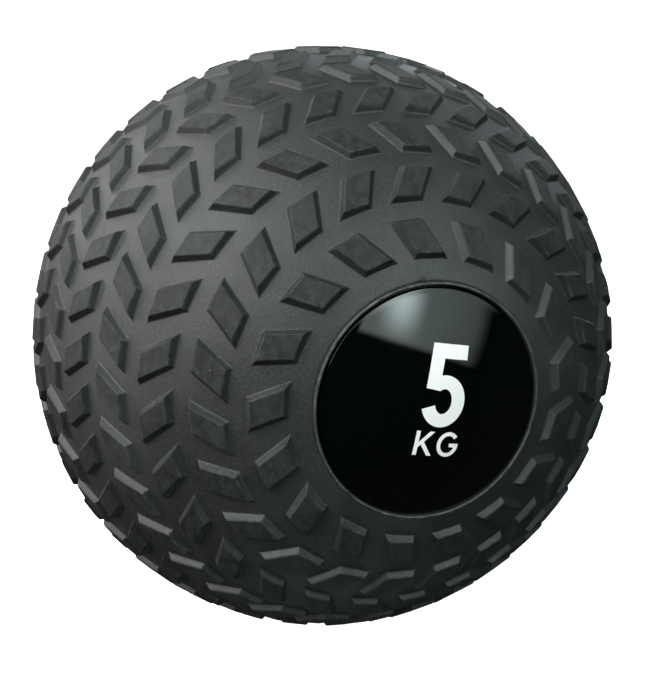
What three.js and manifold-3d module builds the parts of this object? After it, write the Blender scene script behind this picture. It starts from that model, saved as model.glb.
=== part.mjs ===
// Treaded slam ball, the dead-bounce kind of medicine ball: a thick moulded PVC shell with raised
// tread blocks, part filled with sand, with a domed label at each pole.
// Millimetres, +Z up. The origin is the ball's centre and the front label faces -Y.
//
// A place on the ball is given by its tilt, the angle away from the front pole (-Y), and by its
// turn, the angle clockwise from +Z as seen from the front.
import * as THREE from 'three';
import { mergeVertices } from 'three/addons/utils/BufferGeometryUtils.js';
import Module from 'manifold-3d';

const wasm = await Module();
wasm.setup();

// ---- Driving dimensions ----

const BALL_RADIUS = 115; // centre to the flat top of a tread block
const BLOCK_HEIGHT = 2;
const WALL = 6; // shell between the tread blocks
const GAP = 0.3; // room left between two pieces that touch

// Tread: rings of blocks round the label's axis, listed from the first ring to the equator ring.
// phase is the turn of a ring's first block. slant is the angle between a block's sides and the
// meridian, and its side alternates from ring to ring.
const TREAD_RINGS = [
  { blocks: 17, phase: -1.1, slant: 24 },
  { blocks: 23, phase: 0.9, slant: 28 },
  { blocks: 27, phase: 2.1, slant: 33 },
  { blocks: 33, phase: -0.3, slant: 33 },
  { blocks: 36, phase: -1.9, slant: 30 },
  { blocks: 38, phase: -0.2, slant: 30 },
  { blocks: 40, phase: -1.5, slant: 30 },
  { blocks: 40, phase: 0, slant: 30 },
];
const RING_PITCH = 9.18; // degrees of tilt from ring to ring
const BLOCK_LENGTH = 5.1; // degrees of tilt, at the top of a block
const BLOCK_WIDTH = 4; // degrees of arc along the ring, at the top of a block
const END_DRAFT = 0.55; // degrees by which a block's foot reaches past its top at each end
const SIDE_DRAFT = 0.7; // and at each side

// Label seat: a shallow round recess with a raised bead round it.
const LABEL_RADIUS = 35;
const LABEL_THICKNESS = 1.5;
const ADHESIVE_RADIUS = 34.3;
const ADHESIVE_THICKNESS = 0.5;
const PRINT_THICKNESS = 0.4;
const SEAT_DEPTH = 3.4; // below the shell's surface
const SEAT_RADIUS = LABEL_RADIUS + 1.1;
const BEAD_WIDTH = 1.6;
const BEAD_HEIGHT = 0.6;
const BEAD_GROOVE_DEPTH = 0.3;
const BEAD_GROOVE_WIDTH = 0.5;

// Filler neck behind the rear label, with its stopper.
const HOLE_RADIUS = 12;
const NECK_RADIUS = 20;
const NECK_END = 99; // distance of the neck's inner face from the ball's centre
const COUNTERBORE_RADIUS = 16.5;
const COUNTERBORE_FLOOR = 105.8; // distance from the ball's centre
const STOPPER_HEAD_RADIUS = 16;
const STOPPER_HEAD_THICKNESS = 2;
const STOPPER_BARB_RADIUS = 13.2; // wider than the hole, so that the stopper stays in
const STOPPER_BARB_LENGTH = 4;
const STOPPER_TIP_RADIUS = 8.5;

// Sand: lies in the bottom of the shell and shifts round the label's axis.
const SAND_LEVEL = -5; // height of the sand's surface
const SAND_CLEARANCE = 1.7; // to the inside of the shell
const SAND_NECK_CLEARANCE = 3;

// Weight mark on the front label, in plain letterforms, turned clockwise with the label.
const LABEL_TURN = 11.3; // degrees
const NUMERAL_PLACE = { left: -5.5, bottom: -5.9 };
const LETTER_BOTTOM = -15.05;
const LETTER_K_LEFT = -5.2;
const LETTER_G_LEFT = 2.1;

// Fineness of the round surfaces.
const SEGMENTS = 36;
const DOME_STEPS = 4;
const SEAT_STEPS = 3;
const INNER_STEPS = 12;

// ---- Derived sizes ----

const GROUND_RADIUS = BALL_RADIUS - BLOCK_HEIGHT;
const INNER_RADIUS = GROUND_RADIUS - WALL;
const SEAT_FLOOR_RADIUS = GROUND_RADIUS - SEAT_DEPTH;
const ADHESIVE_INNER_RADIUS = SEAT_FLOOR_RADIUS + GAP;
const LABEL_INNER_RADIUS = ADHESIVE_INNER_RADIUS + ADHESIVE_THICKNESS + GAP;
const LABEL_OUTER_RADIUS = LABEL_INNER_RADIUS + LABEL_THICKNESS;
const PRINT_INNER_RADIUS = LABEL_OUTER_RADIUS + GAP;
const EQUATOR_RING = TREAD_RINGS.length - 1; // shared by both halves

const toRadians = THREE.MathUtils.degToRad;
const toDegrees = THREE.MathUtils.radToDeg;

// ---- Materials ----

const MATERIALS = {
  tread_pvc: { color: 0x34363a, roughness: 0.55, metalness: 0 },
  label_plastic: { color: 0x050607, roughness: 0.08, metalness: 0 },
  adhesive: { color: 0xb9b39c, roughness: 0.7, metalness: 0 },
  white_print: { color: 0xf4f6f5, roughness: 0.35, metalness: 0 },
  stopper_rubber: { color: 0x1b1b1c, roughness: 0.8, metalness: 0 },
  sand: { color: 0xb08f5f, roughness: 0.95, metalness: 0 },
};

function addPiece(group, name, geometry, material) {
  const piece = new THREE.Mesh(geometry, new THREE.MeshStandardMaterial(MATERIALS[material]));
  piece.name = name;
  group.add(piece);
  return piece;
}

// ---- Solids that are cut or joined ----

function toSolid(geometry) {
  const bare = geometry.clone();
  bare.deleteAttribute('normal');
  bare.deleteAttribute('uv');
  const merged = mergeVertices(bare);
  return new wasm.Manifold(new wasm.Mesh({
    numProp: 3,
    vertProperties: new Float32Array(merged.attributes.position.array),
    triVerts: new Uint32Array(merged.index.array),
  }));
}

function toGeometry(solid) {
  const mesh = solid.getMesh();
  const geometry = new THREE.BufferGeometry();
  geometry.setAttribute('position', new THREE.BufferAttribute(mesh.vertProperties, 3));
  geometry.setIndex(new THREE.BufferAttribute(mesh.triVerts, 1));
  geometry.computeVertexNormals();
  return geometry;
}

// ---- Tread shell ----

function toward(tilt, turn) {
  const t = toRadians(tilt);
  const p = toRadians(turn);
  return new THREE.Vector3(Math.sin(t) * Math.sin(p), -Math.cos(t), Math.sin(t) * Math.cos(p));
}

// The shell's skin is one sheet of rows, from the front pole over the outside, in through the
// filler hole and back over the inside. A row is a closed loop of corners round the label's axis.
class Skin {
  constructor() {
    this.points = [];
    this.triangles = [];
    this.lastRow = null;
  }

  corner(point, turn) {
    this.points.push(point.x, point.y, point.z);
    return { index: this.points.length / 3 - 1, turn };
  }

  triangle(a, b, c) {
    this.triangles.push(a.index, b.index, c.index);
  }

  quad(a, b, c, d) {
    this.triangle(a, b, c);
    this.triangle(a, c, d);
  }

  // Joins two rows that may have different numbers of corners, always stepping to the nearer turn.
  bridge(first, second) {
    const firstSteps = first.length > 1 ? first.length : 0;
    const secondSteps = second.length > 1 ? second.length : 0;
    const turnAt = (row, step) => row[step % row.length].turn + 360 * Math.floor(step / row.length);
    let i = 0;
    let j = 0;
    while (i < firstSteps || j < secondSteps) {
      const a = first[i % first.length];
      const b = second[j % second.length];
      const firstIsNearer = turnAt(first, i + 1) <= turnAt(second, j + 1);
      if (j >= secondSteps || (i < firstSteps && firstIsNearer)) {
        i += 1;
        this.triangle(a, first[i % first.length], b);
      } else {
        j += 1;
        this.triangle(a, second[j % second.length], b);
      }
    }
  }

  addRow(row) {
    if (this.lastRow) {
      this.bridge(this.lastRow, row);
    }
    this.lastRow = row;
  }

  // A circle of the given radius round the Y axis, or a single corner on the axis.
  addCircle(radius, y) {
    const row = [];
    const count = radius > 0 ? SEGMENTS : 1;
    for (let i = 0; i < count; i += 1) {
      const turn = (i * 360) / SEGMENTS;
      const p = toRadians(turn);
      row.push(this.corner(new THREE.Vector3(radius * Math.sin(p), y, radius * Math.cos(p)), turn));
    }
    this.addRow(row);
  }

  // Circles on a sphere of the given radius, at even steps of tilt.
  addSphere(radius, fromTilt, toTilt, steps) {
    for (let i = 0; i <= steps; i += 1) {
      const tilt = toRadians(fromTilt + ((toTilt - fromTilt) * i) / steps);
      const onAxis = Math.abs(Math.sin(tilt)) < 1e-9;
      this.addCircle(onAxis ? 0 : radius * Math.sin(tilt), -radius * Math.cos(tilt));
    }
  }

  toGeometry() {
    const geometry = new THREE.BufferGeometry();
    geometry.setAttribute('position', new THREE.Float32BufferAttribute(this.points, 3));
    geometry.setIndex(this.triangles);
    geometry.computeVertexNormals();
    return geometry;
  }
}

// The four corners of a block's top or foot, which reaches past the top by the given drafts, as
// [front left, front right, back right, back left]. The front end is nearer the front pole.
function blockOutline(ringTilt, turn, slant, endDraft, sideDraft) {
  const halfLength = BLOCK_LENGTH / 2 + endDraft;
  const halfWidth = BLOCK_WIDTH / 2 + sideDraft;
  const shift = halfLength * Math.tan(toRadians(slant));
  const place = (tiltOffset, arc) => {
    const tilt = ringTilt + tiltOffset;
    return { tilt, turn: turn + arc / Math.sin(toRadians(tilt)) };
  };
  return [
    place(-halfLength, shift - halfWidth),
    place(-halfLength, shift + halfWidth),
    place(halfLength, -shift + halfWidth),
    place(halfLength, -shift - halfWidth),
  ];
}

function addTreadRing(skin, ring) {
  const fromEquator = ring - EQUATOR_RING;
  const ringTilt = 90 + fromEquator * RING_PITCH;
  const { blocks: count, phase, slant } = TREAD_RINGS[EQUATOR_RING - Math.abs(fromEquator)];
  const signedSlant = ring % 2 === 0 ? slant : -slant;
  const feet = [];
  const tops = [];
  for (let i = 0; i < count; i += 1) {
    const turn = phase + (i * 360) / count;
    const middle = toward(ringTilt, turn);
    feet.push(blockOutline(ringTilt, turn, signedSlant, END_DRAFT, SIDE_DRAFT).map(
      (place) => skin.corner(toward(place.tilt, place.turn).multiplyScalar(GROUND_RADIUS), place.turn),
    ));
    tops.push(blockOutline(ringTilt, turn, signedSlant, 0, 0).map((place) => {
      const direction = toward(place.tilt, place.turn);
      return skin.corner(direction.multiplyScalar(BALL_RADIUS / direction.dot(middle)), place.turn);
    }));
  }
  skin.addRow(feet.flatMap((foot) => [foot[0], foot[1]]));
  for (let i = 0; i < count; i += 1) {
    const foot = feet[i];
    const top = tops[i];
    const next = feet[(i + 1) % count];
    for (let side = 0; side < 4; side += 1) {
      const after = (side + 1) % 4;
      skin.quad(foot[side], foot[after], top[after], top[side]);
    }
    skin.quad(top[0], top[1], top[2], top[3]);
    skin.quad(foot[1], next[0], next[3], foot[2]);
  }
  skin.lastRow = feet.flatMap((foot) => [foot[3], foot[2]]);
}

// Seat wall, bead and groove of a label seat, from the seat's floor out to the shell's surface.
function seatRimProfile() {
  const yAt = (radius, sphereRadius) => Math.sqrt(sphereRadius ** 2 - radius ** 2);
  const crest = SEAT_RADIUS + BEAD_WIDTH / 2;
  const foot = SEAT_RADIUS + BEAD_WIDTH;
  const end = foot + BEAD_GROOVE_WIDTH;
  return [
    [SEAT_RADIUS, yAt(SEAT_RADIUS, GROUND_RADIUS + BEAD_HEIGHT / 3)],
    [crest, yAt(crest, GROUND_RADIUS + BEAD_HEIGHT)],
    [foot, yAt(foot, GROUND_RADIUS - BEAD_GROOVE_DEPTH)],
    [end, yAt(end, GROUND_RADIUS)],
  ];
}

function treadShell() {
  const skin = new Skin();
  const seatEdgeTilt = toDegrees(Math.asin(SEAT_RADIUS / SEAT_FLOOR_RADIUS));
  const boreTilt = toDegrees(Math.asin(COUNTERBORE_RADIUS / SEAT_FLOOR_RADIUS));
  const neckTilt = toDegrees(Math.asin(NECK_RADIUS / INNER_RADIUS));
  const rim = seatRimProfile();

  skin.addSphere(SEAT_FLOOR_RADIUS, 0, seatEdgeTilt, SEAT_STEPS);
  rim.forEach(([radius, y]) => skin.addCircle(radius, -y));
  for (let ring = 0; ring <= 2 * EQUATOR_RING; ring += 1) {
    addTreadRing(skin, ring);
  }
  rim.reverse().forEach(([radius, y]) => skin.addCircle(radius, y));
  skin.addSphere(SEAT_FLOOR_RADIUS, 180 - seatEdgeTilt, 180 - boreTilt, SEAT_STEPS);
  skin.addCircle(COUNTERBORE_RADIUS, COUNTERBORE_FLOOR);
  skin.addCircle(HOLE_RADIUS, COUNTERBORE_FLOOR);
  skin.addCircle(HOLE_RADIUS, NECK_END);
  skin.addCircle(NECK_RADIUS, NECK_END);
  skin.addSphere(INNER_RADIUS, 180 - neckTilt, 0, INNER_STEPS);
  return skin.toGeometry();
}

// ---- Labels, adhesive and print ----

// A round cap between two spheres about the ball's centre, facing -Y.
function domeCap(innerRadius, outerRadius, edgeRadius) {
  const profile = [];
  for (let i = 0; i <= DOME_STEPS; i += 1) {
    const radius = (edgeRadius * i) / DOME_STEPS;
    profile.push(new THREE.Vector2(radius, -Math.sqrt(outerRadius ** 2 - radius ** 2)));
  }
  for (let i = DOME_STEPS; i >= 0; i -= 1) {
    const radius = (edgeRadius * i) / DOME_STEPS;
    profile.push(new THREE.Vector2(radius, -Math.sqrt(innerRadius ** 2 - radius ** 2)));
  }
  return new THREE.LatheGeometry(profile, SEGMENTS);
}

function labelSet(side) {
  const set = new THREE.Group();
  const adhesive = domeCap(
    ADHESIVE_INNER_RADIUS,
    ADHESIVE_INNER_RADIUS + ADHESIVE_THICKNESS,
    ADHESIVE_RADIUS,
  );
  const disc = domeCap(LABEL_INNER_RADIUS, LABEL_OUTER_RADIUS, LABEL_RADIUS);
  addPiece(set, `${side}_label_adhesive`, adhesive, 'adhesive');
  addPiece(set, `${side}_label_disc`, disc, 'label_plastic');
  return set;
}

// The numeral, 14 wide and 25 tall, from its lower left corner: a bar, a stem and a round bowl.
function numeralFive() {
  const bowl = { x: 7, y: 7.9, outer: [7, 7.9], inner: [2.7, 3.8] };
  const shape = new THREE.Shape();
  shape.moveTo(1.6, 25);
  shape.lineTo(13, 25);
  shape.lineTo(13, 20.7);
  shape.lineTo(5.6, 20.7);
  shape.absellipse(bowl.x, bowl.y, ...bowl.outer, toRadians(104), toRadians(-160), true);
  shape.absellipse(bowl.x, bowl.y, ...bowl.inner, toRadians(-160), toRadians(125), false);
  shape.lineTo(0.9, 11.6);
  shape.closePath();
  return shape;
}

function letterK() {
  const corners = [
    [0, 0], [1.2, 0], [1.2, 2.5], [2.05, 3.4], [4.6, 0], [6.1, 0],
    [2.9, 4.3], [5.9, 7.7], [4.4, 7.7], [1.2, 4.05], [1.2, 7.7], [0, 7.7],
  ];
  return new THREE.Shape(corners.map(([x, y]) => new THREE.Vector2(x, y)));
}

function letterG() {
  const bowl = { x: 3.6, y: 3.85, outer: [3.6, 3.95], inner: [2.4, 2.75] };
  const shape = new THREE.Shape();
  shape.absellipse(bowl.x, bowl.y, ...bowl.outer, toRadians(40), toRadians(345), false);
  shape.lineTo(7.1, 4.2);
  shape.lineTo(4.1, 4.2);
  shape.lineTo(4.1, 3.1);
  shape.absellipse(bowl.x, bowl.y, ...bowl.inner, toRadians(-20), toRadians(-320), true);
  shape.closePath();
  return shape;
}

// A flat outline on the label, given a thickness that follows the label's dome.
function printOnDome(shape, left, bottom) {
  const prism = new THREE.ExtrudeGeometry(shape, {
    depth: BALL_RADIUS,
    bevelEnabled: false,
    curveSegments: 24,
  });
  prism.translate(left, bottom, 0);
  prism.rotateX(Math.PI / 2);
  const layer = domeCap(PRINT_INNER_RADIUS, PRINT_INNER_RADIUS + PRINT_THICKNESS, LABEL_RADIUS);
  return toGeometry(toSolid(prism).intersect(toSolid(layer)));
}

function frontLabel() {
  const label = labelSet('front');
  const numeral = printOnDome(numeralFive(), NUMERAL_PLACE.left, NUMERAL_PLACE.bottom);
  addPiece(label, 'weight_numeral_5', numeral, 'white_print');
  addPiece(label, 'unit_letter_k', printOnDome(letterK(), LETTER_K_LEFT, LETTER_BOTTOM), 'white_print');
  addPiece(label, 'unit_letter_g', printOnDome(letterG(), LETTER_G_LEFT, LETTER_BOTTOM), 'white_print');
  label.rotation.y = toRadians(LABEL_TURN);
  return label;
}

function rearLabel() {
  const label = labelSet('rear');
  label.rotation.z = Math.PI;
  return label;
}

// ---- Filler stopper ----

function fillerStopper() {
  const stem = HOLE_RADIUS - GAP;
  const headFoot = COUNTERBORE_FLOOR + GAP;
  const headTop = headFoot + STOPPER_HEAD_THICKNESS;
  const barbTop = NECK_END - GAP;
  const tip = barbTop - STOPPER_BARB_LENGTH;
  const chamfer = 0.8;
  const profile = [
    [0, tip],
    [STOPPER_TIP_RADIUS, tip],
    [STOPPER_BARB_RADIUS, barbTop - chamfer],
    [STOPPER_BARB_RADIUS, barbTop],
    [stem, barbTop],
    [stem, headFoot],
    [STOPPER_HEAD_RADIUS, headFoot],
    [STOPPER_HEAD_RADIUS, headTop - chamfer],
    [STOPPER_HEAD_RADIUS - chamfer, headTop],
    [0, headTop],
  ];
  return new THREE.LatheGeometry(profile.map(([x, y]) => new THREE.Vector2(x, y)), SEGMENTS);
}

// ---- Sand ----

function sandFill() {
  const sandRadius = INNER_RADIUS - SAND_CLEARANCE;
  const ball = new THREE.SphereGeometry(sandRadius, SEGMENTS, SEGMENTS / 2);
  const air = new THREE.BoxGeometry(2 * BALL_RADIUS, 2 * BALL_RADIUS, BALL_RADIUS);
  air.translate(0, 0, SAND_LEVEL + BALL_RADIUS / 2);
  const neckRoomLength = BALL_RADIUS - NECK_END + STOPPER_BARB_LENGTH + SAND_NECK_CLEARANCE;
  const neckRoomRadius = NECK_RADIUS + SAND_NECK_CLEARANCE;
  const neckRoom = new THREE.CylinderGeometry(neckRoomRadius, neckRoomRadius, neckRoomLength, SEGMENTS);
  neckRoom.translate(0, BALL_RADIUS - neckRoomLength / 2, 0);
  return toGeometry(toSolid(ball).subtract(toSolid(air)).subtract(toSolid(neckRoom)));
}

// ---- The ball ----

const medicineBall = new THREE.Group();
addPiece(medicineBall, 'tread_shell', treadShell(), 'tread_pvc');
addPiece(medicineBall, 'filler_stopper', fillerStopper(), 'stopper_rubber');
addPiece(medicineBall, 'sand_fill', sandFill(), 'sand');
medicineBall.add(frontLabel(), rearLabel());

export default medicineBall;
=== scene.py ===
"""Looks for the treaded medicine ball: a moulded rubbery shell with tread blocks, two glossy domed
labels, a printed weight mark, and the stopper and sand inside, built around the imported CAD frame.

Lengths in the geometry code are millimetres, and meshes are made in metres. A place on the ball is
given by its tilt, the angle away from the front pole (-Y), and its turn, the angle clockwise from
+Z as seen from the front, both in degrees, as in the CAD source.
"""

import math

import bmesh
import bpy
import numpy as np
from mathutils import Matrix, Vector


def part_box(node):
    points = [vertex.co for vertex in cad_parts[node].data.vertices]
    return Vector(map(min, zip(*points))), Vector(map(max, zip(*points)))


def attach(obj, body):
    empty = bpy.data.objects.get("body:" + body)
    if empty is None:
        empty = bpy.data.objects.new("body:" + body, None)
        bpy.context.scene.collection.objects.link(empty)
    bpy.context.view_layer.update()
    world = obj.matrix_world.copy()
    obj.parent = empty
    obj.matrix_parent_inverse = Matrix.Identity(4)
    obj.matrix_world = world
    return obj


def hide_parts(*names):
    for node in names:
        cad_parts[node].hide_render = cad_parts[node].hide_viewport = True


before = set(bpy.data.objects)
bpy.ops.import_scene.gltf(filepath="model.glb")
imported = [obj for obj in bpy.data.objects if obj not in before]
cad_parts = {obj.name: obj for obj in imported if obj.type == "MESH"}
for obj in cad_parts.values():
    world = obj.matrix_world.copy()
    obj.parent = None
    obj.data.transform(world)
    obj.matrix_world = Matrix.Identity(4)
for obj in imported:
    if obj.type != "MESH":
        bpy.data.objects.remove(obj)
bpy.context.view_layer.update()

MM = 0.001

# ---- Sizes of the ball, in millimetres ----

BALL_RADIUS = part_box("tread_shell")[1].z / MM
BLOCK_HEIGHT = 2.0
WALL = 6.0
GROUND_RADIUS = BALL_RADIUS - BLOCK_HEIGHT
INNER_RADIUS = GROUND_RADIUS - WALL

# Rings of tread blocks from the first ring to the equator ring: number of blocks, turn of the first
# block, and slant of a block's sides, whose side alternates from ring to ring.
TREAD_RINGS = np.array([
    (17, -1.1, 24),
    (23, 0.9, 28),
    (27, 2.1, 33),
    (33, -0.3, 33),
    (36, -1.9, 30),
    (38, -0.2, 30),
    (40, -1.5, 30),
    (40, 0.0, 30),
])
EQUATOR_RING = len(TREAD_RINGS) - 1
RING_PITCH = 9.18  # degrees of tilt
BLOCK_LENGTH = 5.1  # degrees of tilt, at the top
BLOCK_WIDTH = 4.0  # degrees of arc, at the top
END_DRAFT = 1.1  # width of a block's sloping ends
SIDE_DRAFT = 1.4  # and sides
EDGE_ROUND = 0.36  # half the width of a block's rounded edge

LABEL_EDGE = (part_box("front_label_disc")[1].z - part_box("front_label_disc")[0].z) / 2 / MM
LABEL_TOP = -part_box("front_label_disc")[0].y / MM
LABEL_THICKNESS = 1.5
LABEL_ROUNDING = 0.45  # radius of the label's outer edge
LABEL_TURN = 11.3  # degrees
SEAT_FLOOR = 109.6  # distance from the ball's centre
SEAT_EDGE = LABEL_EDGE + 0.8
BEAD_WIDTH = 1.0
BEAD_HEIGHT = 0.4
GROOVE_WIDTH = 0.4
GROOVE_DEPTH = 0.25

HOLE_RADIUS = 12.0
NECK_RADIUS = 20.0
NECK_END = 99.0  # distance of the neck's inner face from the ball's centre
COUNTERBORE_RADIUS = 16.5
COUNTERBORE_FLOOR = 105.8  # distance from the ball's centre
GAP = 0.3  # between the stopper and its neck


# ---- Camera ----

# The view is from a short distance, a little above the ball and to the left of the label.
VIEW_AZIMUTH = -17.2
VIEW_ELEVATION = 12.2
VIEW_ROLL = 2.2
VIEW_DISTANCE = 3.05  # in ball radii, from the ball's centre
LENS = 43.6  # focal length, for a sensor 36 wide
SENSOR_WIDTH = 36
VIEW_SHIFT = (0.0133, -0.0131)  # share of the picture's width, sideways and up


def direction(azimuth, elevation):
    """From the ball's centre outwards. Azimuth 0 is the front (-Y), and positive is towards +X."""
    a = math.radians(azimuth)
    e = math.radians(elevation)
    return Vector((math.sin(a) * math.cos(e), -math.cos(a) * math.cos(e), math.sin(e)))


def facing(back, roll):
    """Rotation of a camera or lamp that looks along -back, turned by roll degrees."""
    right = Vector((0, 0, 1)).cross(back).normalized()
    up = back.cross(right)
    r = math.radians(roll)
    rolled_up = up * math.cos(r) + right * math.sin(r)
    rolled_right = rolled_up.cross(back)
    return Matrix((rolled_right, rolled_up, back)).transposed().to_4x4()


def make_camera():
    data = bpy.data.cameras.new("camera")
    data.lens = LENS
    data.sensor_width = SENSOR_WIDTH
    data.shift_x, data.shift_y = VIEW_SHIFT
    data.clip_start = 0.01
    camera = bpy.data.objects.new("camera", data)
    bpy.context.scene.collection.objects.link(camera)
    back = direction(VIEW_AZIMUTH, VIEW_ELEVATION)
    place = Matrix.Translation(back * VIEW_DISTANCE * BALL_RADIUS * MM)
    camera.matrix_world = place @ facing(back, VIEW_ROLL)
    bpy.context.scene.camera = camera


make_camera()


# ---- Mesh helpers ----


def toward(tilt, turn):
    """Unit vectors for arrays of tilts and turns in degrees."""
    t = np.radians(tilt)
    p = np.radians(turn)
    return np.stack([np.sin(t) * np.sin(p), -np.cos(t), np.sin(t) * np.cos(p)], axis=-1)


def link_mesh(name, points, faces):
    mesh = bpy.data.meshes.new(name)
    mesh.from_pydata((np.asarray(points) * MM).tolist(), [], [list(f) for f in faces])
    mesh.validate()
    piece = bpy.data.objects.new(name, mesh)
    bpy.context.scene.collection.objects.link(piece)
    return piece


def mesh_values(items, field, kind, size=1):
    """One field of all vertices, loops or polygons of a mesh, as an array with size columns."""
    values = np.zeros(len(items) * size, kind)
    items.foreach_get(field, values)
    return values.reshape(-1, size) if size > 1 else values


def smooth(piece, sharp_angle=35):
    piece.data.polygons.foreach_set("use_smooth", [True] * len(piece.data.polygons))
    piece.data.set_sharp_from_angle(angle=math.radians(sharp_angle))


class Skin:
    """One closed sheet made of rows, each a closed loop of corners round the Y axis."""

    def __init__(self):
        self.points = []
        self.faces = []
        self.count = 0
        self.last = None

    def add_points(self, points):
        first = self.count
        self.points.append(np.asarray(points, float).reshape(-1, 3))
        self.count += len(self.points[-1])
        return np.arange(first, self.count)

    def bridge(self, first, first_turns, second, second_turns):
        """Joins two rows with any numbers of corners, always stepping to the nearer turn."""
        n = len(first) if len(first) > 1 else 0
        m = len(second) if len(second) > 1 else 0
        ends_a = np.append(first_turns[1:], first_turns[0] + 360)
        ends_b = np.append(second_turns[1:], second_turns[0] + 360)
        i = 0
        j = 0
        while i < n or j < m:
            a = first[i % len(first)]
            b = second[j % len(second)]
            if j >= m or (i < n and ends_a[i] <= ends_b[j]):
                i += 1
                self.faces.append((a, first[i % len(first)], b))
            else:
                j += 1
                self.faces.append((a, second[j % len(second)], b))

    def add_row(self, row, turns):
        if self.last is not None:
            self.bridge(self.last[0], self.last[1], row, turns)
        self.last = (row, turns)

    def add_circle(self, radius, y, segments):
        turns = np.arange(segments) * 360 / segments if radius > 1e-6 else np.zeros(1)
        p = np.radians(turns)
        points = np.stack([radius * np.sin(p), np.full_like(p, y), radius * np.cos(p)], axis=-1)
        row = self.add_points(points)
        same = self.last is not None and len(self.last[0]) == len(row) > 1
        if same and np.allclose(self.last[1], turns):
            before = self.last[0]
            for k in range(segments):
                after = (k + 1) % segments
                self.faces.append((before[k], before[after], row[after], row[k]))
            self.last = (row, turns)
        else:
            self.add_row(row, turns)

    def add_profile(self, profile, segments):
        for radius, y in profile:
            self.add_circle(radius, y, segments)


def ellipse_arc(centre, radii, start, end, steps):
    """Points on an ellipse, with angles in degrees from the first axis towards the second."""
    angles = np.radians(np.linspace(start, end, steps + 1))
    return [(centre[0] + radii[0] * math.cos(a), centre[1] + radii[1] * math.sin(a)) for a in angles]


def arc(centre, radius, start, end, steps):
    return ellipse_arc(centre, (radius, radius), start, end, steps)


def on_sphere(radius, sphere):
    """How far along the Y axis a circle of this radius lies on a sphere about the ball's centre."""
    return math.sqrt(sphere**2 - radius**2)


def lathe(name, profile, segments=96):
    """A solid turned round the Y axis. The profile runs from the axis at low y to the axis at high y."""
    skin = Skin()
    skin.add_profile(profile, segments)
    piece = link_mesh(name, np.concatenate(skin.points), skin.faces)
    smooth(piece)
    return piece


# ---- Tread shell ----


def soft_step(distance, width, rounding):
    """0 before the edge, 1 past width, straight in between, with both ends rounded."""

    def ramp(x):
        inside = (x + rounding) ** 2 / (4 * rounding)
        return np.where(x <= -rounding, 0, np.where(x >= rounding, x, inside))

    return (ramp(distance) - ramp(distance - width)) / width


MM_PER_DEGREE = math.radians(1) * BALL_RADIUS


def ring_tilt(ring):
    return 90 + (ring - EQUATOR_RING) * RING_PITCH


def ring_layout(ring):
    """Number of blocks, turn of the first block and signed slant, for rings of both halves."""
    layout = TREAD_RINGS[EQUATOR_RING - np.abs(ring - EQUATOR_RING)]
    side = np.where(ring % 2 == 0, 1, -1)
    return layout[..., 0], layout[..., 1], side * layout[..., 2]


def slant_shift(slant, offset):
    """Degrees of arc by which a block's section has moved sideways at this offset from its middle."""
    return -offset * np.tan(np.radians(slant))


def shell_radius(tilt, turn):
    """Distance of the outer surface from the ball's centre, with the tread blocks on it."""
    ring = np.rint((tilt - ring_tilt(0)) / RING_PITCH)
    ring = np.clip(ring, 0, 2 * EQUATOR_RING).astype(int)
    blocks, phase, slant = ring_layout(ring)
    middle_tilt = ring_tilt(ring)
    offset = tilt - middle_tilt
    sine = np.maximum(np.sin(np.radians(tilt)), 1e-6)
    along = turn - phase - slant_shift(slant, offset) / sine
    to_block = np.rint(along * blocks / 360) * 360 / blocks
    across = (along - to_block) * sine
    past_side = (np.abs(across) - BLOCK_WIDTH / 2) * MM_PER_DEGREE
    past_end = (np.abs(offset) - BLOCK_LENGTH / 2) * MM_PER_DEGREE
    side_fall = soft_step(past_side, SIDE_DRAFT, EDGE_ROUND)
    end_fall = soft_step(past_end, END_DRAFT, EDGE_ROUND)
    lean = np.sum(toward(tilt, turn) * toward(middle_tilt, phase + to_block), axis=-1)
    top = BALL_RADIUS / np.maximum(lean, 0.9)
    return GROUND_RADIUS + (top - GROUND_RADIUS) * (1 - np.maximum(side_fall, end_fall))


def shell_normals(tilt, turn):
    """Unit normals of the outer surface, from the change of its radius in both directions."""
    step = 0.01  # degrees
    both_steps = 2 * math.radians(step)
    radius = shell_radius(tilt, turn)
    sine = np.maximum(np.sin(np.radians(tilt)), 1e-6)
    by_tilt = (shell_radius(tilt + step, turn) - shell_radius(tilt - step, turn)) / both_steps
    by_turn = (shell_radius(tilt, turn + step) - shell_radius(tilt, turn - step)) / both_steps
    t = np.radians(tilt)
    p = np.radians(turn)
    tilt_way = np.stack([np.cos(t) * np.sin(p), np.sin(t), np.cos(t) * np.cos(p)], axis=-1)
    turn_way = np.stack([np.cos(p), np.zeros_like(p), -np.sin(p)], axis=-1)
    normal = toward(tilt, turn) * radius[..., None]
    normal = normal - tilt_way * by_tilt[..., None] - turn_way * (by_turn / sine)[..., None]
    return normal / np.linalg.norm(normal, axis=-1, keepdims=True)


EDGE_LINES = np.array([-EDGE_ROUND, 0, EDGE_ROUND])  # over a block's rounded edge


def block_lines(half_size, draft):
    """Grid lines over both edges and both feet of a block, in degrees from its middle."""
    past_edge = np.concatenate([EDGE_LINES, EDGE_LINES + draft])
    lines = (half_size * MM_PER_DEGREE + past_edge) / MM_PER_DEGREE
    return np.concatenate([-lines[::-1], lines])


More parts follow.
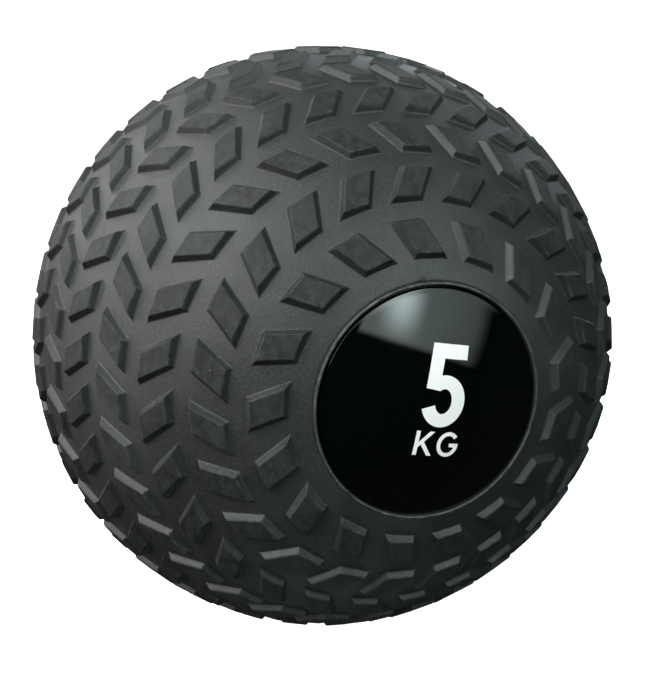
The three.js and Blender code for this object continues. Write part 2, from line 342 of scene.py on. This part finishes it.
def add_tread_ring(skin, ring):
    """A ring of blocks as a grid whose lines follow the blocks' edges and feet."""
    tilt = ring_tilt(ring)
    blocks, phase, slant = ring_layout(ring)
    columns = block_lines(BLOCK_WIDTH / 2, SIDE_DRAFT)
    centres = phase + np.arange(int(blocks)) * 360 / blocks
    rows = []
    for offset in block_lines(BLOCK_LENGTH / 2, END_DRAFT):
        sine = math.sin(math.radians(tilt + offset))
        from_centre = np.concatenate([[-180 / blocks], columns / sine])
        turns = (centres[:, None] + from_centre + slant_shift(slant, offset) / sine).ravel()
        tilts = np.full_like(turns, tilt + offset)
        points = toward(tilts, turns) * shell_radius(tilts, turns)[:, None]
        rows.append((skin.add_points(points), turns))
    skin.add_row(*rows[0])
    side_steps = 2 * len(EDGE_LINES) - 1
    per_cell = len(columns) + 1
    for j in range(len(rows) - 1):
        before = rows[j][0]
        after = rows[j + 1][0]
        at_front = j < side_steps
        at_back = j > side_steps
        for i in range(len(before)):
            k = (i + 1) % len(before)
            column = i % per_cell
            at_left = 0 < column <= side_steps
            at_right = column > side_steps + 1
            quad = (before[i], before[k], after[k], after[i])
            if (at_front and at_left) or (at_back and at_right):
                skin.faces.append((quad[0], quad[1], quad[2]))
                skin.faces.append((quad[0], quad[2], quad[3]))
            elif (at_front and at_right) or (at_back and at_left):
                skin.faces.append((quad[0], quad[1], quad[3]))
                skin.faces.append((quad[1], quad[2], quad[3]))
            else:
                skin.faces.append(quad)
    skin.last = rows[-1]


def rim_profile():
    """Seat wall, round bead and groove, from the seat's floor outwards, as (radius, y)."""
    wall_top = on_sphere(SEAT_EDGE, GROUND_RADIUS)
    bead_middle = SEAT_EDGE + BEAD_WIDTH / 2
    bead_centre = (bead_middle, on_sphere(bead_middle, GROUND_RADIUS) - BEAD_WIDTH / 2 + BEAD_HEIGHT)
    groove = SEAT_EDGE + BEAD_WIDTH + GROOVE_WIDTH / 2
    outside = SEAT_EDGE + BEAD_WIDTH + GROOVE_WIDTH
    profile = [(SEAT_EDGE, wall_top - depth) for depth in (2.6, 1.2)]
    profile += arc(bead_centre, BEAD_WIDTH / 2, 180, -8, 12)
    profile.append((groove, on_sphere(groove, GROUND_RADIUS) - GROOVE_DEPTH))
    profile.append((outside - 0.12, on_sphere(outside, GROUND_RADIUS) - 0.08))
    for past in (0.15, 0.6, 1.4):
        profile.append((outside + past, on_sphere(outside + past, GROUND_RADIUS)))
    return profile


RIM_SEGMENTS = 300
INNER_SEGMENTS = 96
BORE_ROUNDING = 0.6
NECK_ROUNDING = 1.5
GATE_MARK = {"tilt": 19.9, "turn": -3.7, "radius": 1.7, "height": 0.45}


def raise_gate_mark(points):
    """A small moulding nub beside the front bead."""
    centre = toward(GATE_MARK["tilt"], GATE_MARK["turn"]) * GROUND_RADIUS
    distance = np.linalg.norm(points - centre, axis=1)
    bump = np.clip(1 - (distance / GATE_MARK["radius"]) ** 2, 0, 1) * GATE_MARK["height"]
    outward = points / np.maximum(np.linalg.norm(points, axis=1, keepdims=True), 1e-6)
    return points + outward * bump[:, None]


def sphere_rows(sphere, start, end, steps):
    """Profile points on a sphere from one tilt to another."""
    tilts = np.radians(np.linspace(start, end, steps + 1))
    return [(sphere * abs(math.sin(t)), -sphere * math.cos(t)) for t in tilts]


def make_shell():
    """The shell's skin: front seat, tread, rear seat, filler bore, and back over the inside."""
    skin = Skin()
    rim = rim_profile()
    seat_tilt = math.degrees(math.asin(SEAT_EDGE / SEAT_FLOOR))
    bore_tilt = math.degrees(math.asin(COUNTERBORE_RADIUS / SEAT_FLOOR))
    neck_tilt = math.degrees(math.asin(NECK_RADIUS / INNER_RADIUS))
    skin.add_profile(sphere_rows(SEAT_FLOOR, 0, seat_tilt, 6), RIM_SEGMENTS)
    skin.add_profile([(radius, -y) for radius, y in rim], RIM_SEGMENTS)
    tread_start = len(skin.faces)
    for ring in range(2 * EQUATOR_RING + 1):
        add_tread_ring(skin, ring)
    tread_end = len(skin.faces)
    skin.add_profile(rim[::-1], RIM_SEGMENTS)
    skin.add_profile(sphere_rows(SEAT_FLOOR, 180 - seat_tilt, 180 - bore_tilt, 4), RIM_SEGMENTS)
    bore = [
        (COUNTERBORE_RADIUS, COUNTERBORE_FLOOR),
        (HOLE_RADIUS + BORE_ROUNDING, COUNTERBORE_FLOOR),
        (HOLE_RADIUS, COUNTERBORE_FLOOR - BORE_ROUNDING),
        (HOLE_RADIUS, NECK_END + BORE_ROUNDING),
        (HOLE_RADIUS + BORE_ROUNDING, NECK_END),
        (NECK_RADIUS - NECK_ROUNDING, NECK_END),
        (NECK_RADIUS, NECK_END + NECK_ROUNDING),
    ]
    skin.add_profile(bore, INNER_SEGMENTS)
    skin.add_profile(sphere_rows(INNER_RADIUS, 180 - neck_tilt, 0, 48), INNER_SEGMENTS)
    points = raise_gate_mark(np.concatenate(skin.points))
    piece = link_mesh("tread_shell_looks", points, skin.faces)
    smooth(piece)
    set_tread_normals(piece, tread_start, tread_end)
    add_wear_and_highlight_attributes(piece)
    return piece


def set_tread_normals(piece, start, end):
    """Exact normals for the tread's faces: flat tops, round edges and crisp corners."""
    mesh = piece.data
    normals = mesh_values(mesh.corner_normals, "vector", np.float32, 3)
    points = mesh_values(mesh.vertices, "co", np.float32, 3)
    loop_points = mesh_values(mesh.loops, "vertex_index", np.int32)
    totals = mesh_values(mesh.polygons, "loop_total", np.int32)
    middles = mesh_values(mesh.polygons, "center", np.float32, 3)
    face_of_loop = np.repeat(np.arange(len(totals)), totals)
    inward = 0.06  # share of the way from a corner to its face's middle
    sample = points[loop_points] * (1 - inward) + middles[face_of_loop] * inward
    tread = (face_of_loop >= start) & (face_of_loop < end)
    place = sample[tread]
    tilt = np.degrees(np.arccos(-place[:, 1] / np.linalg.norm(place, axis=1)))
    turn = np.degrees(np.arctan2(place[:, 0], place[:, 2]))
    normals[tread] = shell_normals(tilt, turn)
    mesh.normals_split_custom_set(normals.tolist())


def add_wear_and_highlight_attributes(piece):
    """edge is 1 along the blocks' top edges and high on the beads, a mask for rubbed wear and a painted
    edge highlight. tread is 1 on the block tops.
    """
    mesh = piece.data
    points = mesh_values(mesh.vertices, "co", np.float32, 3) / MM
    radius = np.linalg.norm(points, axis=1)
    height = np.clip((radius - GROUND_RADIUS) / BLOCK_HEIGHT, 0, 1)
    edge = np.clip(1 - np.abs(height - 0.95) / 0.06, 0, 1)
    from_axis = np.hypot(points[:, 0], points[:, 2])
    # The beads take the same lighter mark: rubbed wear, partly a painted highlight.
    on_bead = (from_axis > SEAT_EDGE) & (from_axis < SEAT_EDGE + BEAD_WIDTH) & (height > 0.1)
    edge = np.where(on_bead, 0.8, edge)
    for name, values in (("tread", height), ("edge", edge)):
        attribute = mesh.attributes.new(name, "FLOAT", "POINT")
        attribute.data.foreach_set("value", values.astype(np.float32))


# ---- Materials ----


class Nodes:
    """Short calls for building a material's node tree."""

    def __init__(self, name):
        self.material = bpy.data.materials.new(name)
        self.material.use_nodes = True
        self.tree = self.material.node_tree
        self.shader = self.tree.nodes["Principled BSDF"]
        self.place = self.add("ShaderNodeTexCoord").outputs["Object"]

    def add(self, kind, **settings):
        node = self.tree.nodes.new(kind)
        for key, value in settings.items():
            setattr(node, key, value)
        return node

    def link(self, output, target):
        self.tree.links.new(output, target)

    def set(self, **values):
        """Sets the shader's own sockets. Roughness=0.5 and Coat_Weight=1 name the sockets."""
        for key, value in values.items():
            self.shader.inputs[key.replace("_", " ")].default_value = value

    def noise(self, scale, detail=3.0, roughness=0.5, stretch=None):
        node = self.add("ShaderNodeTexNoise")
        node.inputs["Scale"].default_value = scale
        node.inputs["Detail"].default_value = detail
        node.inputs["Roughness"].default_value = roughness
        self.link(self.stretched(stretch), node.inputs["Vector"])
        return node.outputs["Fac"]

    def stretched(self, stretch):
        if stretch is None:
            return self.place
        mapping = self.add("ShaderNodeMapping")
        mapping.inputs["Scale"].default_value = stretch
        self.link(self.place, mapping.inputs["Vector"])
        return mapping.outputs["Vector"]

    def cells(self, scale):
        """Distance to the nearest of many scattered points."""
        node = self.add("ShaderNodeTexVoronoi")
        node.inputs["Scale"].default_value = scale
        self.link(self.place, node.inputs["Vector"])
        return node.outputs["Distance"]

    def ramp(self, value, low, high, to_low=0.0, to_high=1.0, smooth=False):
        """Takes low to to_low and high to to_high, and stays level past both."""
        node = self.add("ShaderNodeMapRange", interpolation_type="SMOOTHSTEP" if smooth else "LINEAR")
        limits = {"From Min": low, "From Max": high, "To Min": to_low, "To Max": to_high}
        for key, number in limits.items():
            node.inputs[key].default_value = number
        self.link(value, node.inputs["Value"])
        return node.outputs["Result"]

    def separate(self, vector):
        node = self.add("ShaderNodeSeparateXYZ")
        self.link(vector, node.inputs["Vector"])
        return node.outputs

    def math(self, operation, first, second=0.0):
        node = self.add("ShaderNodeMath", operation=operation)
        for socket, value in zip(node.inputs, (first, second)):
            if isinstance(value, (int, float)):
                socket.default_value = value
            else:
                self.link(value, socket)
        return node.outputs[0]

    def attribute(self, name):
        return self.add("ShaderNodeAttribute", attribute_name=name).outputs["Fac"]

    def mix(self, factor, first, second):
        node = self.add("ShaderNodeMix", data_type="RGBA")
        self.link(factor, node.inputs["Factor"])
        for key, value in (("A", first), ("B", second)):
            socket = [s for s in node.inputs if s.name == key and s.type == "RGBA"][0]
            if isinstance(value, tuple):
                socket.default_value = (*value, 1)
            else:
                self.link(value, socket)
        return [s for s in node.outputs if s.type == "RGBA"][0]

    def bump(self, layers):
        """Stacks bumps, each (height, strength, distance in millimetres)."""
        normal = None
        for height, strength, distance in layers:
            node = self.add("ShaderNodeBump")
            node.inputs["Strength"].default_value = strength
            node.inputs["Distance"].default_value = distance * MM
            self.link(height, node.inputs["Height"])
            if normal is not None:
                self.link(normal, node.inputs["Normal"])
            normal = node.outputs["Normal"]
        self.link(normal, self.shader.inputs["Normal"])

    def colour(self, output):
        self.link(output, self.shader.inputs["Base Color"])

    def roughness(self, output):
        self.link(output, self.shader.inputs["Roughness"])


def tread_pvc():
    """Dark satin PVC: a grainy ground with a painted sheen that makes it lighter than the smoother,
    darker block tops, dust, and rubbed edges that are partly a painted highlight.
    """
    n = Nodes("tread_pvc")
    on_top = n.ramp(n.attribute("tread"), 0.75, 1.0)
    cloud = n.noise(26, detail=5, roughness=0.6)
    grain = n.noise(1300, detail=4, roughness=0.75)
    # The ground's base colour is painted lighter than the block tops' to stand in for the broader sheen
    # of its rougher surface: a painted sheen.
    ground_with_painted_sheen = n.mix(n.ramp(grain, 0.38, 0.66), (0.0075, 0.0083, 0.0085), (0.0275, 0.0290, 0.0286))
    streaks = n.noise(520, detail=4, roughness=0.7, stretch=(1, 0.35, 0.12))
    # Block tops: a darker base colour with streaky tone, the other half of the painted sheen difference.
    top = n.mix(n.ramp(streaks, 0.38, 0.68), (0.0075, 0.0084, 0.0090), (0.0165, 0.0178, 0.0182))
    tone_with_painted_sheen = n.mix(on_top, ground_with_painted_sheen, top)
    clouded = n.mix(n.ramp(cloud, 0.50, 0.80), tone_with_painted_sheen, (0.030, 0.032, 0.031))
    # Rubbed edges and beads: lighter worn rubber, partly a painted highlight along every top edge and
    # bead.
    patches = n.ramp(n.noise(380, detail=5, roughness=0.7), 0.40, 0.62)
    rubbed_and_highlit = n.math("MULTIPLY", n.attribute("edge"), patches)
    worn_and_highlit = n.mix(n.math("MULTIPLY", rubbed_and_highlit, 0.8), clouded, (0.11, 0.115, 0.113))
    speck = n.ramp(n.cells(520), 0.11, 0.05)
    chosen = n.ramp(n.noise(110, detail=2), 0.55, 0.62)
    dust = n.math("MULTIPLY", speck, chosen)
    n.colour(n.mix(n.math("MULTIPLY", dust, 0.7), worn_and_highlit, (0.20, 0.205, 0.20)))
    smear = n.ramp(n.noise(60, detail=5, roughness=0.65), 0.3, 0.75, -0.05, 0.05)
    n.roughness(n.math("ADD", smear, n.ramp(on_top, 0, 1, 0.52, 0.56)))
    n.link(n.ramp(on_top, 0, 1, 0.52, 0.24), n.shader.inputs["Specular IOR Level"])
    n.set(IOR=1.5)
    n.bump([(cloud, 0.3, 0.3), (n.noise(640, detail=3), 0.4, 0.12), (grain, 0.8, 0.12)])
    return n.material


def label_plastic():
    """Black polished plastic with faint waviness, hairline scratches and a few dust specks."""
    n = Nodes("label_plastic")
    speck = n.ramp(n.cells(300), 0.07, 0.04)
    chosen = n.ramp(n.noise(70, detail=1), 0.66, 0.72)
    dust = n.math("MULTIPLY", speck, chosen)
    n.colour(n.mix(n.math("MULTIPLY", dust, 0.4), (0.0004, 0.0009, 0.0009), (0.12, 0.12, 0.12)))
    scratches = n.ramp(n.noise(90, detail=6, roughness=0.8, stretch=(1, 1, 14)), 0.66, 0.72)
    n.roughness(n.ramp(n.math("ADD", scratches, dust), 0, 1, 0.045, 0.22))
    n.set(IOR=1.52)
    n.bump([(n.noise(26, detail=1), 0.16, 0.3)])
    return n.material


def white_print():
    """White screen-print ink, slightly uneven."""
    n = Nodes("white_print")
    n.colour(n.mix(n.noise(500, detail=3), (0.92, 0.89, 0.89), (0.97, 0.94, 0.94)))
    n.roughness(n.ramp(n.noise(900), 0.3, 0.7, 0.32, 0.45))
    n.bump([(n.noise(1800), 0.15, 0.01)])
    return n.material


def stopper_rubber():
    """Dull black rubber."""
    n = Nodes("stopper_rubber")
    n.colour(n.mix(n.noise(220, detail=4), (0.016, 0.016, 0.017), (0.028, 0.028, 0.029)))
    n.roughness(n.ramp(n.noise(300), 0.3, 0.7, 0.65, 0.85))
    n.bump([(n.noise(1500), 0.3, 0.04)])
    return n.material


def adhesive():
    """Cloudy foam tape."""
    n = Nodes("adhesive")
    n.colour(n.mix(n.cells(900), (0.52, 0.49, 0.38), (0.40, 0.37, 0.28)))
    n.roughness(n.ramp(n.noise(400), 0.3, 0.7, 0.6, 0.8))
    n.bump([(n.cells(1400), 0.4, 0.05)])
    return n.material


def sand():
    """Loose quartz sand: separate grains of several tans."""
    n = Nodes("sand")
    grain = n.cells(1100)
    tint = n.noise(1300, detail=1)
    n.colour(n.mix(n.ramp(tint, 0.3, 0.7), (0.34, 0.22, 0.10), (0.58, 0.44, 0.25)))
    n.roughness(n.ramp(tint, 0.3, 0.7, 0.75, 0.95))
    n.bump([(grain, 0.9, 0.5), (n.noise(240), 0.5, 0.8)])
    return n.material


RECIPES = (tread_pvc, label_plastic, white_print, stopper_rubber, adhesive, sand)
MATERIALS = {recipe.__name__: recipe() for recipe in RECIPES}


def finish_piece(piece, material, body, *nodes):
    """Gives a piece its material and body, and lets it stand for CAD nodes."""
    piece.data.materials.clear()
    piece.data.materials.append(MATERIALS[material])
    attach(piece, body)
    if nodes:
        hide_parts(*nodes)
    return piece


# ---- Labels ----


def dome_profile(inner, outer, edge, rounding):
    """A cap between two spheres, facing -Y, with a rounded outer edge and a small inner chamfer."""
    steps = 24
    chamfer = 0.2
    reach = edge - rounding
    inner_reach = edge - chamfer
    profile = [(reach * i / steps, -on_sphere(reach * i / steps, outer)) for i in range(steps + 1)]
    corner = (reach, -on_sphere(reach, outer) + rounding)
    profile += arc(corner, rounding, -70, 0, 5)
    profile.append((edge, -on_sphere(edge, inner) - chamfer))
    for i in range(steps, -1, -1):
        radius = inner_reach * i / steps
        profile.append((radius, -on_sphere(radius, inner)))
    return profile


def make_label(name, at_rear):
    profile = dome_profile(LABEL_TOP - LABEL_THICKNESS, LABEL_TOP, LABEL_EDGE, LABEL_ROUNDING)
    piece = lathe(name, profile, segments=192)
    if at_rear:
        piece.data.transform(Matrix.Rotation(math.pi, 4, "Z"))
    return piece


# ---- Weight mark ----


BOWL_STEPS = 40


def numeral_five():
    """The numeral, from its lower left corner: a bar, a stem and a round bowl."""
    middle = (7, 7.9)
    points = [(1.6, 25), (13, 25), (13, 20.7), (5.6, 20.7)]
    points += ellipse_arc(middle, (7, 7.9), 104, -160, BOWL_STEPS)
    points += ellipse_arc(middle, (2.7, 3.8), -160, 125, BOWL_STEPS)
    points.append((0.9, 11.6))
    return points


def letter_k():
    return [
        (0, 0), (1.2, 0), (1.2, 2.5), (2.05, 3.4), (4.6, 0), (6.1, 0),
        (2.9, 4.3), (5.9, 7.7), (4.4, 7.7), (1.2, 4.05), (1.2, 7.7), (0, 7.7),
    ]


def letter_g():
    middle = (3.6, 3.85)
    points = ellipse_arc(middle, (3.6, 3.95), 40, 345, BOWL_STEPS)
    points += [(7.1, 4.2), (4.1, 4.2), (4.1, 3.1)]
    points += ellipse_arc(middle, (2.4, 2.75), -20, -320, BOWL_STEPS)
    return points


PRINT_THICKNESS = 0.08
PRINT_LIFT = 0.01  # above the label
PRINT_CELL = 2.0  # size of the squares that let a flat outline follow the dome

# Piece, outline, the place of its lower left corner on the label, and the CAD node it stands for.
WEIGHT_MARK = (
    ("figure_5", numeral_five, (-5.5, -5.9), "weight_numeral_5"),
    ("unit_k", letter_k, (-5.2, -15.05), "unit_letter_k"),
    ("unit_g", letter_g, (2.1, -15.05), "unit_letter_g"),
)


def print_on_dome(name, outline, place):
    """An outline filled, cut fine, laid on the label's dome and given the ink's thickness."""
    left, bottom = place
    bm = bmesh.new()
    corners = [bm.verts.new((left + x, 0, bottom + y)) for x, y in outline]
    bm.faces.new(corners)
    lows = np.floor(np.min([v.co for v in bm.verts], axis=0) / PRINT_CELL)
    highs = np.ceil(np.max([v.co for v in bm.verts], axis=0) / PRINT_CELL)
    for axis, normal in ((0, Vector((1, 0, 0))), (2, Vector((0, 0, 1)))):
        for k in np.arange(lows[axis], highs[axis] + 1):
            everything = bm.verts[:] + bm.edges[:] + bm.faces[:]
            cut = normal * k * PRINT_CELL
            bmesh.ops.bisect_plane(bm, geom=everything, plane_co=cut, plane_no=normal)
    bmesh.ops.triangulate(bm, faces=bm.faces[:])
    made = bmesh.ops.extrude_face_region(bm, geom=bm.faces[:])
    top = {v for v in made["geom"] if isinstance(v, bmesh.types.BMVert)}
    turn = Matrix.Rotation(math.radians(LABEL_TURN), 3, "Y")
    for v in bm.verts:
        sphere = LABEL_TOP + PRINT_LIFT + (PRINT_THICKNESS if v in top else 0)
        flat = turn @ v.co
        v.co = Vector((flat.x, -math.sqrt(sphere**2 - flat.x**2 - flat.z**2), flat.z)) * MM
    bmesh.ops.recalc_face_normals(bm, faces=bm.faces[:])
    mesh = bpy.data.meshes.new(name)
    bm.to_mesh(mesh)
    bm.free()
    piece = bpy.data.objects.new(name, mesh)
    bpy.context.scene.collection.objects.link(piece)
    smooth(piece)
    return piece


# ---- Stopper and sand ----


STOPPER_HEAD = 2.0  # thickness
STOPPER_BARB = 4.0  # length

# Sand heap: fineness of its mesh, and the ripples raked into its top.
SAND_CELL = 2.6
SAND_RELIEF = 6.0  # depth to which the ripples reach
RIPPLE_HEIGHT = 2.2
SAND_SCALE = 0.998  # keeps the heap just inside its CAD solid


def stopper_profile():
    """A head in the counterbore, a stem through the hole, and a barb inside the neck."""
    stem = HOLE_RADIUS - GAP
    foot = COUNTERBORE_FLOOR + GAP
    top = foot + STOPPER_HEAD
    barb = NECK_END - GAP
    tip = barb - STOPPER_BARB
    profile = [(0, tip)]
    profile += arc((7.5, tip + 1), 1, -90, -30, 4)
    profile += arc((12.7, barb - 0.8), 0.5, -30, 60, 5)
    profile += [(12.6, barb), (stem + 0.3, barb), (stem, barb + 0.3)]
    profile += [(stem, foot - 0.4), (stem + 0.4, foot)]
    profile += arc((15.4, foot + 0.6), 0.6, -90, 0, 4)
    profile += arc((15.2, top - 0.8), 0.8, 0, 90, 5)
    profile += [(9, top), (8.4, top - 0.5), (0, top - 0.5)]
    return profile


def make_sand():
    """The heap at rest: the CAD solid remeshed, with its top raked into low ripples."""
    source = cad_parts["sand_fill"]
    piece = bpy.data.objects.new("sand_heap", source.data.copy())
    bpy.context.scene.collection.objects.link(piece)
    remesh = piece.modifiers.new("remesh", "REMESH")
    remesh.mode = "VOXEL"
    remesh.voxel_size = SAND_CELL * MM
    graph = bpy.context.evaluated_depsgraph_get()
    mesh = bpy.data.meshes.new_from_object(piece.evaluated_get(graph))
    piece.modifiers.clear()
    piece.data = mesh
    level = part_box("sand_fill")[1].z
    points = mesh_values(mesh.vertices, "co", np.float32, 3)
    x, y, z = points.T
    near_top = np.clip(1 - (level - z) / (SAND_RELIEF * MM), 0, 1)
    ripple = 1 + 0.5 * np.sin(x * 190 + 2.4 * np.sin(y * 95)) * np.cos(y * 120)
    points[:, 2] -= near_top * ripple * RIPPLE_HEIGHT * MM
    points *= SAND_SCALE
    mesh.vertices.foreach_set("co", points.ravel())
    mesh.update()
    smooth(piece, 60)
    return piece


# ---- The pieces ----

finish_piece(make_shell(), "tread_pvc", "ball", "tread_shell")
finish_piece(make_label("front_label", False), "label_plastic", "ball", "front_label_disc")
finish_piece(make_label("rear_label", True), "label_plastic", "ball", "rear_label_disc")
for piece_name, outline, place, node in WEIGHT_MARK:
    finish_piece(print_on_dome(piece_name, outline(), place), "white_print", "ball", node)
finish_piece(lathe("stopper", stopper_profile()), "stopper_rubber", "ball", "filler_stopper")
finish_piece(make_sand(), "sand", "sand", "sand_fill")
for node in ("front_label_adhesive", "rear_label_adhesive"):
    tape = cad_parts[node]
    tape.data.materials.clear()
    tape.data.materials.append(MATERIALS["adhesive"])


# ---- Studio ----

WARM = (0.97, 1.0, 0.95)
COOL = (0.86, 0.98, 1.0)

# Lamps that look at the ball's centre: azimuth, elevation, distance and size in metres, power in
# watts, and colour.
SOFTBOXES = {
    "left_back": (-130, 35, 1.8, (1.6, 1.6), 21, WARM),
    "left_high": (-100, 65, 1.7, (1.2, 1.2), 5, WARM),
    "left_low": (-95, 10, 1.6, (1.4, 1.4), 13, WARM),
    "key_left": (-75, 45, 1.4, (1.0, 1.0), 5, WARM),
    "front_left": (-57, 32, 1.5, (0.9, 0.9), 16, WARM),
    "front_high": (-45, 60, 1.4, (0.8, 0.8), 4, WARM),
    "right_back": (130, 35, 1.8, (1.6, 1.6), 9, COOL),
    "back_fill": (165, 22, 1.8, (1.2, 0.9), 6, COOL),
    "floor_bounce": (-20, -86, 1.5, (0.9, 0.9), 1, COOL),
}
WORLD_COLOUR = (0.022, 0.026, 0.028, 1)

# The glowing card that the front label mirrors, and the brighter streak on it.
CARD = {"azimuth": 20, "elevation": 23.5, "distance": 1.1, "size": (1.32, 0.82), "roll": 26}
STREAK_ACROSS = -0.09  # metres from the card's middle
STREAK_GLOW = 8.5


def stage_material():
    """White that glows a little, so that the floor and walls stay bright behind the dark ball."""
    n = Nodes("studio_white")
    n.set(Base_Color=(0.9, 0.9, 0.9, 1), Roughness=0.9)
    n.set(Emission_Color=(1, 1, 1, 1), Emission_Strength=1.05)
    return n.material


def make_stage():
    """A round white cove: a floor that the ball rests on, curving up into walls on every side."""
    floor_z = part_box("tread_shell")[0].z / MM
    profile = [(0, 0), (1500, 0)]
    profile += arc((1500, 2500), 2500, -90, 0, 24)
    profile += [(4000, 5000), (0, 6500)]
    skin = Skin()
    skin.add_profile(profile, 96)
    points = np.concatenate(skin.points)
    upright = np.stack([points[:, 0], -points[:, 2], points[:, 1] + floor_z], axis=-1)
    cove = link_mesh("cove", upright, skin.faces)
    smooth(cove, 60)
    cove.data.materials.append(stage_material())
    cove.visible_diffuse = False
    cove.visible_glossy = False
    cove.visible_shadow = False


def softbox(name, azimuth, elevation, distance, size, power, colour):
    """A rectangular lamp that looks at the ball's centre."""
    data = bpy.data.lights.new(name, "AREA")
    data.shape = "RECTANGLE"
    data.size, data.size_y = size
    data.energy = power
    data.color = colour
    lamp = bpy.data.objects.new(name, data)
    bpy.context.scene.collection.objects.link(lamp)
    back = direction(azimuth, elevation)
    lamp.matrix_world = Matrix.Translation(back * distance) @ facing(back, 0)
    lamp.visible_camera = False


def card_material():
    """Uneven glow of a window: dim with soft sides, and a brighter streak towards its top."""
    n = Nodes("window_card")
    across, up, _ = n.separate(n.place)
    side = n.ramp(n.math("ABSOLUTE", across), 0.66, 0.46, smooth=True)
    foot = n.ramp(up, -0.40, -0.34, smooth=True)
    even = n.math("MULTIPLY", n.math("MULTIPLY", side, foot), n.ramp(across, 0.0, 0.60, 2.1, 0.9))
    from_streak = n.math("ABSOLUTE", n.math("SUBTRACT", across, STREAK_ACROSS))
    streak = n.ramp(from_streak, 0.19, 0.0, smooth=True)
    high = n.ramp(up, -0.42, -0.06, smooth=True)
    glow = n.math("ADD", even, n.math("MULTIPLY", n.math("MULTIPLY", streak, high), STREAK_GLOW))
    n.link(glow, n.shader.inputs["Emission Strength"])
    n.set(Base_Color=(0, 0, 0, 1), Specular_IOR_Level=0, Emission_Color=(0.82, 1.0, 0.98, 1))
    return n.material


def make_card(azimuth, elevation, distance, size, roll):
    """A glowing card that the front label mirrors. It faces the ball's centre."""
    x, y = (side / 2 / MM for side in size)
    corners = [(-x, -y, 0), (x, -y, 0), (x, y, 0), (-x, y, 0)]
    card = link_mesh("window_card", corners, [(0, 1, 2, 3)])
    back = direction(azimuth, elevation)
    card.matrix_world = Matrix.Translation(back * distance) @ facing(back, roll)
    card.data.materials.append(card_material())
    card.visible_camera = False
    card.visible_shadow = False


def make_lights():
    world = bpy.data.worlds.new("studio")
    bpy.context.scene.world = world
    world.use_nodes = True
    world.node_tree.nodes["Background"].inputs["Color"].default_value = WORLD_COLOUR
    for name, settings in SOFTBOXES.items():
        softbox(name, *settings)
    make_card(**CARD)


make_stage()
make_lights()
bpy.context.scene.view_settings.view_transform = "Standard"
